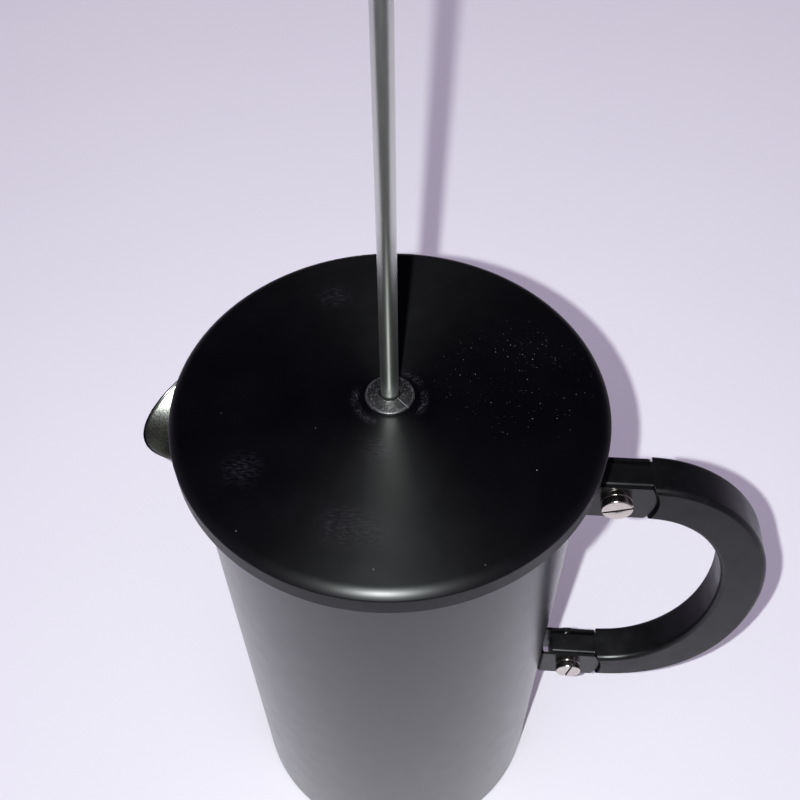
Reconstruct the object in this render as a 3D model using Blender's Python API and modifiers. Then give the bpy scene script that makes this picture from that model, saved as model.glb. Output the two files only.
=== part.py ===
"""A double-walled French press: pot, handle, lid and plunger, drawn with the plunger raised.

Origin: centre of the resting face. +Z up, +X towards the handle, the spout points to -X.
Lengths are in millimetres in the constants and become metres where meshes are made.
"""

import math

import bmesh
import bpy
from mathutils import Matrix, Vector

MM = 0.001
GAP = 0.3                      # between pieces that touch on the real object
ROUND = 48                     # sides of the large turned pieces
SMALL_ROUND = 20               # sides of the small turned pieces

# Pot
SHELL_R = 50.0
SHELL_WALL = 0.5
SHELL_CORNER = 1.2
SHELL_FOOT_Z = 0.3
VESSEL_R = 46.8                # outer face of the inner wall
VESSEL_RIM_R = SHELL_R - 1.5   # where the inner wall runs up beside the outer one
VESSEL_WALL = 0.8
VESSEL_FLOOR_Z = 6.0
VESSEL_CORNER = 7.0
RIM_Z = 183.0
BASE_PLATE = 1.4

# Spout: the top of both walls is bent out and down over a narrow sector
SPOUT_FROM_Z = 155.0
SPOUT_REACH = 14.5
SPOUT_DROP = 11.0
SPOUT_HALF_ANGLE = math.radians(23.0)
SPOUT_POWER = 1.3

# Lid
LID_R = 54.3
LID_TOP_Z = 187.3
LID_RISE = 0.9
LID_SHOULDER = 2.0
LID_SKIRT_Z = 180.4
LID_WALL = 1.0
LINER_R = 44.8
LINER_TOP_Z = 184.2
LINER_BOTTOM_Z = 171.0
LINER_WALL = 0.8
LINER_SLOTS = 7
SEAL_INNER_R = 45.6
SEAL_OUTER_R = 49.4
SEAL_HEIGHT = 1.5

# Plunger
ROD_R = 2.15
BUSH_BORE_R = 2.55
BUSH_NECK_R = 4.0
BUSH_FLANGE_R = 6.15
BUSH_TOP_Z = LID_TOP_Z + LID_RISE + GAP + 1.5
BUSH_NUT_HEIGHT = 3.0
TRAVEL = 140.0
KNOB_R = 15.5
KNOB_NECK_R = 7.2
KNOB_HEIGHT = 31.0
FILTER_R = 45.4
PLATE_Z = 163.0                # top of the filter stack's upper plate at its rim
PLATE_WALL = 0.7
CROSS_Z = 157.0
CROSS_HOLES = 10

# Handle and its brackets
ARM_HALF_WIDTH = 6.0
ARM_BEVEL = 1.0
ARM_START_X = 69.3
OUTER_LOOP = {"z": 104.4, "half_x": 41.5, "half_z": 57.1, "upper_power": 2.0, "lower_power": 2.25}
INNER_LOOP = {"z": 103.7, "half_x": 28.5, "half_z": 43.9, "upper_power": 2.1, "lower_power": 2.1}
LOOP_POINTS = 22
TONGUE_END_X = 54.3
TONGUE_HALF_WIDTH = 3.7
TONGUE_STEP = 0.7
ARC_GAP = 0.8                  # between the cheeks' ends and the handle's hollowed shoulders
BRACKET_HALF_WIDTH = 5.0
BRACKET_CHEEK = 0.9
BRACKET_END_R = 12.5            # radius of the cheeks' free ends
BRACKET_END_X = 70.7
BRACKET_BACK_X = SHELL_R + GAP
BRACKETS = {
    "upper": {"low": 147.4, "high": 160.9, "screw": 156.5},
    "lower": {"low": 45.8, "high": 59.3, "screw": 55.4},
}
SCREW_X = 59.9
SCREW_HEAD_R = 4.15
SCREW_HEAD = 2.0
FLANGE_R = 3.2                 # low flange of the barrel nut on the far cheek
FLANGE = 0.5
SCREW_SHANK_R = 1.7
COLLAR = 1.5
BARREL_R = 2.5
BARREL_HOLE_R = BARREL_R + GAP
SLOT_WIDTH = 1.0
SLOT_DEPTH = 0.9

COLOURS = {                    # base colour, roughness, metallic
    "black_paint": ((0.022, 0.022, 0.025), 0.45, 0.0),
    "black_plastic": ((0.018, 0.018, 0.020), 0.5, 0.0),
    "bare_steel": ((0.56, 0.57, 0.56), 0.32, 1.0),
    "chrome": ((0.78, 0.77, 0.74), 0.1, 1.0),
    "brass": ((0.72, 0.55, 0.28), 0.3, 1.0),
    "seal_rubber": ((0.05, 0.05, 0.055), 0.8, 0.0),
}


# ---------------------------------------------------------------- scene helpers

def clear_scene():
    for item in list(bpy.data.objects):
        bpy.data.objects.remove(item, do_unlink=True)


def new_collection(name):
    collection = bpy.data.collections.new(name)
    bpy.context.scene.collection.children.link(collection)
    return collection


def new_material(name):
    colour, roughness, metallic = COLOURS[name]
    material = bpy.data.materials.new(name)
    material.use_nodes = True
    shader = material.node_tree.nodes["Principled BSDF"]
    shader.inputs["Base Color"].default_value = (*colour, 1.0)
    shader.inputs["Roughness"].default_value = roughness
    shader.inputs["Metallic"].default_value = metallic
    return material


def new_object(name, data, collection, material=None):
    item = bpy.data.objects.new(name, data)
    collection.objects.link(item)
    if material:
        data.materials.append(MATERIALS[material])
    return item


def shade_round(item, angle=35.0):
    item.data.shade_smooth()
    item.data.set_sharp_from_angle(angle=math.radians(angle))


def evaluated_mesh(item):
    """The object's mesh with its modifiers, or a curve's surface, as a new mesh."""
    graph = bpy.context.evaluated_depsgraph_get()
    return bpy.data.meshes.new_from_object(item.evaluated_get(graph))


def as_mesh_object(item):
    """Turn a curve or a modified object into a plain, welded mesh object."""
    mesh = evaluated_mesh(item)
    shell = bmesh.new()
    shell.from_mesh(mesh)
    bmesh.ops.remove_doubles(shell, verts=shell.verts, dist=0.000001)
    shell.to_mesh(mesh)
    shell.free()
    solid = bpy.data.objects.new(item.name + "_mesh", mesh)
    for collection in item.users_collection:
        collection.objects.link(solid)
    solid.matrix_world = item.matrix_world
    name = item.name
    bpy.data.objects.remove(item, do_unlink=True)
    solid.name = name
    return solid


def as_cutter(item):
    for collection in list(item.users_collection):
        collection.objects.unlink(item)
    CUTTERS.objects.link(item)
    item.hide_render = True
    item.display_type = "WIRE"
    return item


def boolean(item, other, operation):
    modifier = item.modifiers.new(operation.lower(), "BOOLEAN")
    modifier.operation = operation
    modifier.solver = "EXACT"
    modifier.object = as_cutter(other)


# ---------------------------------------------------------------- shape helpers

def turned(name, profile, material, steps=ROUND, closed=True):
    """Spin a profile of (radius, height) pairs, given down its outer side, about Z."""
    mesh = bpy.data.meshes.new(name)
    points = [(r * MM, 0.0, z * MM) for r, z in profile]
    edges = [(i, i + 1) for i in range(len(points) - 1)]
    if closed:
        edges.append((len(points) - 1, 0))
    mesh.from_pydata(points, edges, [])
    item = new_object(name, mesh, PARTS, material)
    screw = item.modifiers.new("turn", "SCREW")
    screw.axis = "Z"
    screw.steps = steps
    screw.render_steps = steps
    screw.use_merge_vertices = True
    screw.merge_threshold = 0.00001
    screw.use_smooth_shade = True
    return item


def add_solidify(item, wall, inward=True):
    solidify = item.modifiers.new("wall", "SOLIDIFY")
    solidify.thickness = wall * MM
    solidify.offset = -1.0 if inward else 1.0
    solidify.use_even_offset = True
    return item


def arc(centre_r, centre_z, radius, start, end, count):
    """Points on an arc in the (radius, height) plane, angles in degrees."""
    points = []
    for i in range(count + 1):
        angle = math.radians(start + (end - start) * i / count)
        points.append((centre_r + radius * math.cos(angle), centre_z + radius * math.sin(angle)))
    return points


def cylinder(name, radius, low, high, steps=SMALL_ROUND, material=None):
    """A cylinder along local Z from low to high."""
    mesh = bpy.data.meshes.new(name)
    solid = bmesh.new()
    bmesh.ops.create_cone(solid, cap_ends=True, segments=steps, radius1=radius * MM,
                          radius2=radius * MM, depth=(high - low) * MM)
    bmesh.ops.translate(solid, verts=solid.verts, vec=(0, 0, (low + high) / 2 * MM))
    solid.to_mesh(mesh)
    solid.free()
    return new_object(name, mesh, PARTS, material)


def box(name, low, high, material=None):
    mesh = bpy.data.meshes.new(name)
    solid = bmesh.new()
    size = [h - l for l, h in zip(low, high)]
    bmesh.ops.create_cube(solid, size=MM, matrix=Matrix.Diagonal((*size, 1.0)))
    middle = Vector([(l + h) / 2 * MM for l, h in zip(low, high)])
    bmesh.ops.translate(solid, verts=solid.verts, vec=middle)
    solid.to_mesh(mesh)
    solid.free()
    return new_object(name, mesh, PARTS, material)


def upright_outline(name, points, half_width, material):
    """A flat outline of (x, z) points, as a slab from -half_width to half_width in Y."""
    curve = bpy.data.curves.new(name, "CURVE")
    curve.dimensions = "2D"
    curve.fill_mode = "BOTH"
    curve.extrude = half_width * MM
    spline = curve.splines.new("POLY")
    spline.points.add(len(points) - 1)
    for point, (x, z) in zip(spline.points, points):
        point.co = (x * MM, z * MM, 0.0, 1.0)
    spline.use_cyclic_u = True
    item = new_object(name, curve, PARTS, material)
    item.rotation_euler = (math.radians(90.0), 0.0, 0.0)
    bpy.context.view_layer.update()
    return as_mesh_object(item)


def across(item, x, z):
    """Lay a piece modelled along Z along Y instead, its +Z end towards -Y."""
    item.rotation_euler = (math.radians(90.0), 0.0, 0.0)
    item.location = (x * MM, 0.0, z * MM)
    return item


# ---------------------------------------------------------------- pot

def spout_push(mesh):
    """Bend the wall's top outwards and down around -X, most at the rim."""
    for vertex in mesh.vertices:
        x, y, z = vertex.co
        angle = abs(math.atan2(y, -x))
        height = (z / MM - SPOUT_FROM_Z) / (RIM_Z - SPOUT_FROM_Z)
        if height <= 0.0 or angle >= SPOUT_HALF_ANGLE:
            continue
        bend = math.cos(math.pi / 2 * angle / SPOUT_HALF_ANGLE) ** SPOUT_POWER * height ** 1.8
        radius = math.hypot(x, y)
        grow = 1.0 + SPOUT_REACH * MM * bend / radius
        vertex.co = (x * grow, y * grow, z - SPOUT_DROP * MM * bend)


def spouted_wall(name, profile, wall, material):
    item = turned(name, profile, material, closed=False)
    item = as_mesh_object(item)
    spout_push(item.data)
    add_solidify(item, wall)
    shade_round(item)
    return item


def upper_heights(top):
    """Ring heights through the bent part of a wall, from the top down."""
    count = 7
    heights = [RIM_Z - (RIM_Z - SPOUT_FROM_Z) * (i / count) for i in range(count + 1)]
    return [top] + heights[1:]


def make_outer_shell():
    top = RIM_Z - 0.4
    profile = [(SHELL_R, z) for z in upper_heights(top)]
    corner_z = SHELL_FOOT_Z + SHELL_CORNER
    profile += arc(SHELL_R - SHELL_CORNER, corner_z, SHELL_CORNER, 0, -90, 2)
    profile.append((SHELL_R - SHELL_CORNER - 1.2, SHELL_FOOT_Z))
    return spouted_wall("outer_shell", profile, SHELL_WALL, "black_paint")


def make_inner_vessel():
    flare_low, flare_high = 164.0, 172.0
    profile = []
    for z in upper_heights(RIM_Z):
        share = min(max((z - flare_low) / (flare_high - flare_low), 0.0), 1.0)
        profile.append((VESSEL_R + (VESSEL_RIM_R - VESSEL_R) * share, z))
    corner_z = VESSEL_FLOOR_Z + VESSEL_CORNER
    profile += arc(VESSEL_R - VESSEL_CORNER, corner_z, VESSEL_CORNER, 0, -90, 4)
    profile.append((0.0, VESSEL_FLOOR_Z))
    return spouted_wall("inner_vessel", profile, VESSEL_WALL, "bare_steel")


def make_base_plate():
    radius = SHELL_R - SHELL_CORNER - 1.2 - GAP
    item = cylinder("base_plate", radius, 0.0, BASE_PLATE, ROUND, "black_paint")
    bevel = item.modifiers.new("edge", "BEVEL")
    bevel.width = 0.3 * MM
    bevel.segments = 1
    shade_round(item)
    return item


# ---------------------------------------------------------------- handle

def loop_points(loop, turn_up):
    """Half a superellipse on the +X side, from its top to its bottom."""
    points = []
    for i in range(LOOP_POINTS + 1):
        angle = math.pi * i / LOOP_POINTS
        power = loop["upper_power"] if math.cos(angle) > 0 else loop["lower_power"]
        across_share = math.sin(angle) ** (2.0 / power)
        up_share = math.copysign(abs(math.cos(angle)) ** (2.0 / power), math.cos(angle))
        x = ARM_START_X + loop["half_x"] * across_share
        points.append((x, loop["z"] + loop["half_z"] * up_share))
    return points if turn_up else points[::-1]


def handle_outline():
    """Side view of the D-shaped arm, with both ends run straight on to the tongues' ends."""
    outer = loop_points(OUTER_LOOP, True)
    inner = loop_points(INNER_LOOP, False)
    upper_end = [(TONGUE_END_X, inner[-1][1]), (TONGUE_END_X, outer[0][1])]
    lower_end = [(TONGUE_END_X, outer[-1][1]), (TONGUE_END_X, inner[0][1])]
    return upper_end + outer + lower_end + inner


def tongue_trims():
    """Heights cut off the tongues so that they sit a step below the arm's faces."""
    top = OUTER_LOOP["z"] + OUTER_LOOP["half_z"]
    bottom = OUTER_LOOP["z"] - OUTER_LOOP["half_z"]
    inner_bottom = INNER_LOOP["z"] - INNER_LOOP["half_z"]
    margin = 3.0
    return [(top - TONGUE_STEP, top + margin), (inner_bottom - TONGUE_STEP, inner_bottom + margin),
            (bottom - margin, bottom + TONGUE_STEP)]


def make_handle():
    item = upright_outline("handle", handle_outline(), ARM_HALF_WIDTH, "black_plastic")
    bevel = item.modifiers.new("edge", "BEVEL")
    bevel.width = ARM_BEVEL * MM
    bevel.segments = 2
    bevel.limit_method = "ANGLE"
    bevel.angle_limit = math.radians(60.0)
    for i, (low, high) in enumerate(tongue_trims()):
        trim = box(f"cut_tongue_step_{i}", (TONGUE_END_X - 5.0, -ARM_HALF_WIDTH - 2.0, low),
                   (ARM_START_X - 0.5, ARM_HALF_WIDTH + 2.0, high))
        boolean(item, trim, "DIFFERENCE")
    for side, place in BRACKETS.items():
        for sign in (-1, 1):
            relief = cylinder(f"cut_tongue_{side}_{sign}", BRACKET_END_R + ARC_GAP, TONGUE_HALF_WIDTH,
                              ARM_HALF_WIDTH + 2.0, 48)
            across(relief, BRACKET_END_X - BRACKET_END_R, bracket_end_z(place))
            if sign > 0:
                relief.rotation_euler = (math.radians(-90.0), 0.0, 0.0)
            boolean(item, relief, "DIFFERENCE")
        hole = cylinder(f"cut_tongue_hole_{side}", BARREL_HOLE_R, -9.0, 9.0)
        boolean(item, across(hole, SCREW_X, place["screw"]), "DIFFERENCE")
    shade_round(item)
    return item


def bracket_end_z(place):
    return (place["low"] + place["high"]) / 2


def bracket_outline(place):
    """Side view of a cheek: square at the pot, a shallow arc at the free end."""
    half_height = (place["high"] - place["low"]) / 2
    reach = math.degrees(math.asin(half_height / BRACKET_END_R))
    end = arc(BRACKET_END_X - BRACKET_END_R, bracket_end_z(place), BRACKET_END_R, reach, -reach, 8)
    return [(BRACKET_BACK_X, place["high"])] + end + [(BRACKET_BACK_X, place["low"])]


def make_bracket(side):
    place = BRACKETS[side]
    item = upright_outline(f"{side}_bracket", bracket_outline(place), BRACKET_HALF_WIDTH, "black_paint")
    inner = BRACKET_HALF_WIDTH - BRACKET_CHEEK
    channel = box(f"cut_channel_{side}", (BRACKET_BACK_X + BRACKET_CHEEK, -inner, place["low"] - 5.0),
                  (SCREW_X + 20.0, inner, place["high"] + 5.0))
    boolean(item, channel, "DIFFERENCE")
    hole = cylinder(f"cut_bracket_hole_{side}", BARREL_HOLE_R, -9.0, 9.0)
    boolean(item, across(hole, SCREW_X, place["screw"]), "DIFFERENCE")
    shade_round(item)
    return item


def make_screw(side, slot_turn):
    """Slotted screw whose head faces -Y; its shank runs inside the barrel nut."""
    head_low = BRACKET_HALF_WIDTH + GAP + COLLAR + GAP
    head_high = head_low + SCREW_HEAD
    edge = 0.35
    profile = [(0.0, head_high), (SCREW_HEAD_R - edge, head_high), (SCREW_HEAD_R, head_high - edge),
               (SCREW_HEAD_R, head_low), (SCREW_SHANK_R, head_low),
               (SCREW_SHANK_R, -BRACKET_HALF_WIDTH + 0.8), (0.0, -BRACKET_HALF_WIDTH + 0.8)]
    item = turned(f"{side}_screw", profile, "chrome", SMALL_ROUND + 4, closed=False)
    item = as_mesh_object(item)
    across(item, SCREW_X, BRACKETS[side]["screw"])
    slot = box(f"cut_slot_{side}", (-SCREW_HEAD_R - 1.0, -SLOT_WIDTH / 2, head_high - SLOT_DEPTH),
               (SCREW_HEAD_R + 1.0, SLOT_WIDTH / 2, head_high + 1.0))
    across(slot, SCREW_X, BRACKETS[side]["screw"])
    slot.rotation_euler = (math.radians(90.0), math.radians(slot_turn), 0.0)
    boolean(item, slot, "DIFFERENCE")
    shade_round(item)
    return item


def make_collar(side):
    low = BRACKET_HALF_WIDTH + GAP
    high = low + COLLAR
    bore = SCREW_SHANK_R + GAP
    profile = [(bore, high), (SCREW_HEAD_R, high), (SCREW_HEAD_R, low), (bore, low)]
    item = turned(f"{side}_collar", profile, "chrome", SMALL_ROUND + 4)
    return across(item, SCREW_X, BRACKETS[side]["screw"])


def make_barrel_nut(side):
    """Headed sleeve from the +Y side, through both cheeks and the tongue."""
    face = -(BRACKET_HALF_WIDTH + GAP)
    head = face - FLANGE
    bore = SCREW_SHANK_R + GAP
    open_end = BRACKET_HALF_WIDTH - 0.4
    profile = [(bore, open_end), (BARREL_R, open_end), (BARREL_R, face), (FLANGE_R, face),
               (FLANGE_R, head), (bore, head)]
    item = turned(f"{side}_barrel_nut", profile, "chrome", SMALL_ROUND + 4)
    return across(item, SCREW_X, BRACKETS[side]["screw"])


# ---------------------------------------------------------------- lid

def make_lid_dome():
    hole = BUSH_NECK_R + GAP
    dome = []
    for share in (0.0, 0.5, 1.0):
        radius = hole + (LID_R - LID_SHOULDER - hole) * share
        dome.append((radius, LID_TOP_Z + LID_RISE * (1.0 - share ** 2)))
    shoulder = arc(LID_R - LID_SHOULDER, LID_TOP_Z - LID_SHOULDER, LID_SHOULDER, 90, 0, 4)
    profile = dome + shoulder[1:] + [(LID_R, LID_SKIRT_Z)]
    item = turned("lid_dome", profile, "black_paint", closed=False)
    return add_solidify(item, LID_WALL)


def make_lid_liner():
    """Flat plate with a short wall that centres the lid in the pot's mouth."""
    hole = BUSH_NECK_R + GAP
    corner = 2.0
    profile = [(hole, LINER_TOP_Z)]
    profile += arc(LINER_R - corner, LINER_TOP_Z - corner, corner, 90, 0, 2)
    profile.append((LINER_R, LINER_BOTTOM_Z))
    item = turned("lid_liner", profile, "bare_steel", closed=False)
    add_solidify(item, LINER_WALL)
    item = as_mesh_object(item)
    for i in range(LINER_SLOTS):
        turn = math.pi + math.radians(7.0) * (i - (LINER_SLOTS - 1) / 2)
        slot = box(f"cut_liner_slot_{i}", (LINER_R - 4.0, -1.1, LINER_BOTTOM_Z + 2.0),
                   (LINER_R + 4.0, 1.1, LINER_TOP_Z - 3.0))
        slot.rotation_euler = (0.0, 0.0, turn)
        boolean(item, slot, "DIFFERENCE")
    shade_round(item)
    return item


def make_lid_seal():
    low = RIM_Z + GAP
    high = low + SEAL_HEIGHT
    profile = [(SEAL_INNER_R, high), (SEAL_OUTER_R, high), (SEAL_OUTER_R, low), (SEAL_INNER_R, low)]
    return turned("lid_seal", profile, "seal_rubber")


def bush_nut_top():
    return LINER_TOP_Z - LINER_WALL - GAP


def make_guide_bush():
    flange_low = LID_TOP_Z + LID_RISE + GAP
    neck_low = bush_nut_top() - BUSH_NUT_HEIGHT
    edge = 0.35
    profile = [(BUSH_BORE_R, BUSH_TOP_Z), (BUSH_FLANGE_R - edge, BUSH_TOP_Z),
               (BUSH_FLANGE_R, BUSH_TOP_Z - edge), (BUSH_FLANGE_R, flange_low),
               (BUSH_NECK_R, flange_low), (BUSH_NECK_R, neck_low), (BUSH_BORE_R, neck_low)]
    return turned("guide_bush", profile, "black_plastic", SMALL_ROUND + 8)


def make_bush_nut():
    high = bush_nut_top()
    item = cylinder("bush_nut", 7.5, high - BUSH_NUT_HEIGHT, high, 6, "bare_steel")
    bore = cylinder("cut_bush_nut", BUSH_NECK_R + GAP, high - 9.0, high + 3.0)
    boolean(item, bore, "DIFFERENCE")
    return item


# ---------------------------------------------------------------- plunger

def knob_bottom():
    return BUSH_TOP_Z + GAP + TRAVEL


def stack_bottom():
    return CROSS_Z - 5.0


def make_rod():
    top = knob_bottom() + KNOB_HEIGHT - 9.0
    low = stack_bottom()
    edge = 0.4
    profile = [(0.0, top), (ROD_R - edge, top), (ROD_R, top - edge), (ROD_R, low + edge),
               (ROD_R - edge, low), (0.0, low)]
    item = turned("plunger_rod", profile, "bare_steel", SMALL_ROUND, closed=False)
    return as_mesh_object(item)


def make_knob():
    """Ball knob on a short neck, with a bore from below for the rod and its insert."""
    low = knob_bottom()
    high = low + KNOB_HEIGHT
    bore = ROD_R + 2 * GAP + 1.4
    bore_top = high - 8.0
    profile = arc(0.0, high - KNOB_R, KNOB_R, 90, -58, 11)
    profile[0] = (0.0, high)
    profile += [(KNOB_NECK_R, low + 2.5), (KNOB_NECK_R, low), (bore, low), (bore, bore_top),
                (0.0, bore_top)]
    item = turned("knob", profile, "black_plastic", 32, closed=False)
    return as_mesh_object(item)


def make_knob_insert():
    low = knob_bottom() + 2.0
    high = knob_bottom() + KNOB_HEIGHT - 8.6
    inner, outer = ROD_R + GAP, ROD_R + GAP + 1.4
    profile = [(inner, high), (outer, high), (outer, low), (inner, low)]
    return turned("knob_insert", profile, "brass")


def ring(name, inner, outer, low, high, material, steps=SMALL_ROUND):
    profile = [(inner, high), (outer, high), (outer, low), (inner, low)]
    return turned(name, profile, material, steps)


def make_spiral_plate():
    """Upper plate of the filter: a shallow dish whose turned-down rim carries the edge spring."""
    centre_rise = 3.0
    profile = [(ROD_R + GAP, PLATE_Z + centre_rise), (FILTER_R * 0.35, PLATE_Z + centre_rise),
               (FILTER_R * 0.6, PLATE_Z), (FILTER_R - 3.4, PLATE_Z), (FILTER_R - 3.4, PLATE_Z - 1.6)]
    item = turned("spiral_plate", profile, "bare_steel", closed=False)
    return add_solidify(item, PLATE_WALL)


def make_edge_spring():
    """The wire coil round the upper plate, as a plain ring of the coil's outer size."""
    coil_r = 1.35
    profile = arc(FILTER_R - coil_r, PLATE_Z - 1.0, coil_r, 90, -225, 7)
    return turned("edge_spring", profile, "bare_steel")


def make_filter_mesh():
    low = CROSS_Z + 1.0 + GAP
    profile = [(ROD_R + GAP, low + 0.4), (FILTER_R - 2.0, low + 0.4), (FILTER_R - 0.6, low + 1.8),
               (FILTER_R, low + 1.8), (FILTER_R - 1.7, low), (ROD_R + GAP, low)]
    return turned("filter_mesh", profile, "bare_steel")


def make_cross_plate():
    item = turned("cross_plate", [(ROD_R + GAP, CROSS_Z + 1.0), (FILTER_R - 3.0, CROSS_Z + 1.0),
                                  (FILTER_R - 3.0, CROSS_Z), (ROD_R + GAP, CROSS_Z)], "bare_steel")
    item = as_mesh_object(item)
    for i in range(CROSS_HOLES):
        hole = cylinder(f"cut_cross_{i}", 5.0, CROSS_Z - 3.0, CROSS_Z + 4.0, 10)
        turn = 2 * math.pi * i / CROSS_HOLES
        hole.location = (FILTER_R * 0.62 * MM * math.cos(turn), FILTER_R * 0.62 * MM * math.sin(turn), 0.0)
        boolean(item, hole, "DIFFERENCE")
    return item


def make_filter_nut():
    high = CROSS_Z - GAP
    item = cylinder("filter_nut", 5.5, high - 3.6, high, 6, "bare_steel")
    bore = cylinder("cut_filter_nut", ROD_R + GAP, high - 9.0, high + 3.0)
    boolean(item, bore, "DIFFERENCE")
    return item


# ---------------------------------------------------------------- build

def build():
    make_outer_shell()
    make_inner_vessel()
    make_base_plate()
    make_handle()
    for side, slot_turn in (("upper", 14.0), ("lower", 80.0)):
        make_bracket(side)
        make_screw(side, slot_turn)
        make_collar(side)
        make_barrel_nut(side)
    make_lid_dome()
    make_lid_liner()
    make_lid_seal()
    make_guide_bush()
    make_bush_nut()
    make_rod()
    make_knob()
    make_knob_insert()
    collar_low = PLATE_Z + 3.0 + GAP
    ring("rod_collar", ROD_R + GAP, 4.6, collar_low, collar_low + 3.0, "bare_steel")
    make_spiral_plate()
    make_edge_spring()
    make_filter_mesh()
    make_cross_plate()
    make_filter_nut()


clear_scene()
PARTS = new_collection("french_press")
CUTTERS = new_collection("cutters")
MATERIALS = {name: new_material(name) for name in COLOURS}
build()
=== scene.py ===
"""Looks of the double-walled French press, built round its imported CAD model.

Every visible piece is made again here with finer, rounded geometry and a node material.
Lengths are in metres; design sizes are written as a number of MM. Places and main sizes come
from the CAD nodes' boxes, so each piece lies exactly where its node does.
"""

import math

import bmesh
import bpy
from mathutils import Matrix, Vector


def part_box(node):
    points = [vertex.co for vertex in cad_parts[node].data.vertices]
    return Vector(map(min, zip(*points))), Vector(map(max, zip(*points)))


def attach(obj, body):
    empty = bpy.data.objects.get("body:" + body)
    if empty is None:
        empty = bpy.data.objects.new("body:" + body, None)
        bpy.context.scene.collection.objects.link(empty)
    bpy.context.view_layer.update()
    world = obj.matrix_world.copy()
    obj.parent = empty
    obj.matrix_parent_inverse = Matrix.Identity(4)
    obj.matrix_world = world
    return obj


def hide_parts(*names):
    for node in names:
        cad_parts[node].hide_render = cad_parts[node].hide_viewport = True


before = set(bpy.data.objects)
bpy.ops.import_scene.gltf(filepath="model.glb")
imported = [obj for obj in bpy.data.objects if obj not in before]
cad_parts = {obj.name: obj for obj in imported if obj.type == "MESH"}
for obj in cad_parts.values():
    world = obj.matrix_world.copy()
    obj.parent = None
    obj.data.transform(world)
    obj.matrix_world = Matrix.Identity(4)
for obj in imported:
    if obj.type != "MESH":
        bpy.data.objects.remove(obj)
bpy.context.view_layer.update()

MM = 0.001
ROUND = 256                    # sides of the large turned pieces
SMALL_ROUND = 96               # sides of the small turned pieces
LAY_ACROSS = Matrix.Rotation(math.radians(90.0), 4, "X")     # +Z end turned to -Y


class Place:
    """Where a CAD node lies at rest."""

    def __init__(self, node):
        self.low, self.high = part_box(node)
        self.centre = (self.low + self.high) / 2
        self.radius = self.high.y          # of a piece turned about the pot's axis
        self.bottom, self.top = self.low.z, self.high.z


# ---------------------------------------------------------------- shape helpers

def filleted(corners, closed=True, segments=6):
    """Outline points from (radius, height, fillet) corners, each corner rounded by its fillet."""
    points = []
    count = len(corners)
    for i, (x, z, fillet) in enumerate(corners):
        here = Vector((x, z))
        inside = closed or 0 < i < count - 1
        if fillet <= 0.0 or not inside:
            points.append((x, z))
            continue
        before = (Vector(corners[i - 1][:2]) - here).normalized()
        after = (Vector(corners[(i + 1) % count][:2]) - here).normalized()
        half = before.angle(after) / 2
        centre = here + (before + after).normalized() * (fillet / math.sin(half))
        start = here + before * (fillet / math.tan(half)) - centre
        end = here + after * (fillet / math.tan(half)) - centre
        sweep = start.angle(end)
        for step in range(segments + 1):
            share = step / segments
            spoke = (start * math.sin((1 - share) * sweep) + end * math.sin(share * sweep)) / math.sin(sweep)
            points.append(tuple(centre + spoke))
    return points


def refined(points, low, step):
    """Add points to the steep parts of a closed outline above a height, one every step."""
    result = []
    for i, (x0, z0) in enumerate(points):
        x1, z1 = points[(i + 1) % len(points)]
        result.append((x0, z0))
        if max(z0, z1) > low and abs(z1 - z0) > step:
            pieces = math.ceil(abs(z1 - z0) / step)
            result += [(x0 + (x1 - x0) * k / pieces, z0 + (z1 - z0) * k / pieces) for k in range(1, pieces)]
    return result


def new_piece(name, shape):
    """A mesh object from a bmesh, with its faces turned outwards."""
    bmesh.ops.remove_doubles(shape, verts=shape.verts, dist=1e-7)
    bmesh.ops.recalc_face_normals(shape, faces=shape.faces)
    mesh = bpy.data.meshes.new(name)
    shape.to_mesh(mesh)
    shape.free()
    piece = bpy.data.objects.new(name, mesh)
    bpy.context.scene.collection.objects.link(piece)
    return piece


def lathe(name, outline, steps=ROUND, closed=True):
    """Turn an outline of (radius, height) points about Z."""
    shape = bmesh.new()
    rings = []
    for radius, height in outline:
        if radius < 1e-7:
            rings.append([shape.verts.new((0.0, 0.0, height))] * steps)
            continue
        angles = [2 * math.pi * i / steps for i in range(steps)]
        rings.append([shape.verts.new((radius * math.cos(a), radius * math.sin(a), height)) for a in angles])
    following = rings[1:] + (rings[:1] if closed else [])
    for upper, lower in zip(rings, following):
        for i in range(steps):
            j = (i + 1) % steps
            corners = list(dict.fromkeys([upper[i], lower[i], lower[j], upper[j]]))
            if len(corners) > 2:
                shape.faces.new(corners)
    return new_piece(name, shape)


def loft(name, sections):
    """A closed tube through equal rings of points, capped at both ends."""
    shape = bmesh.new()
    rings = [[shape.verts.new(point) for point in section] for section in sections]
    for first, second in zip(rings, rings[1:]):
        for i in range(len(first)):
            j = (i + 1) % len(first)
            shape.faces.new((first[i], first[j], second[j], second[i]))
    shape.faces.new(rings[0])
    shape.faces.new(rings[-1])
    return new_piece(name, shape)


def cylinder(name, radius, low, high, steps=SMALL_ROUND):
    shape = bmesh.new()
    bmesh.ops.create_cone(shape, cap_ends=True, segments=steps, radius1=radius, radius2=radius,
                          depth=high - low, matrix=Matrix.Translation((0, 0, (low + high) / 2)))
    return new_piece(name, shape)


def block(name, low, high):
    shape = bmesh.new()
    size = Vector(high) - Vector(low)
    middle = (Vector(high) + Vector(low)) / 2
    bmesh.ops.create_cube(shape, size=1.0, matrix=Matrix.Translation(middle) @ Matrix.Diagonal((*size, 1.0)))
    return new_piece(name, shape)


def moved(piece, *matrices):
    """Move a piece's own vertices by these matrices, the last one first."""
    for matrix in reversed(matrices):
        piece.data.transform(matrix)
    return piece


def settled(piece):
    """Replace a piece's modifiers by the mesh that they make."""
    bpy.context.view_layer.update()
    graph = bpy.context.evaluated_depsgraph_get()
    mesh = bpy.data.meshes.new_from_object(piece.evaluated_get(graph))
    piece.modifiers.clear()
    piece.data = mesh
    return piece


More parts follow.
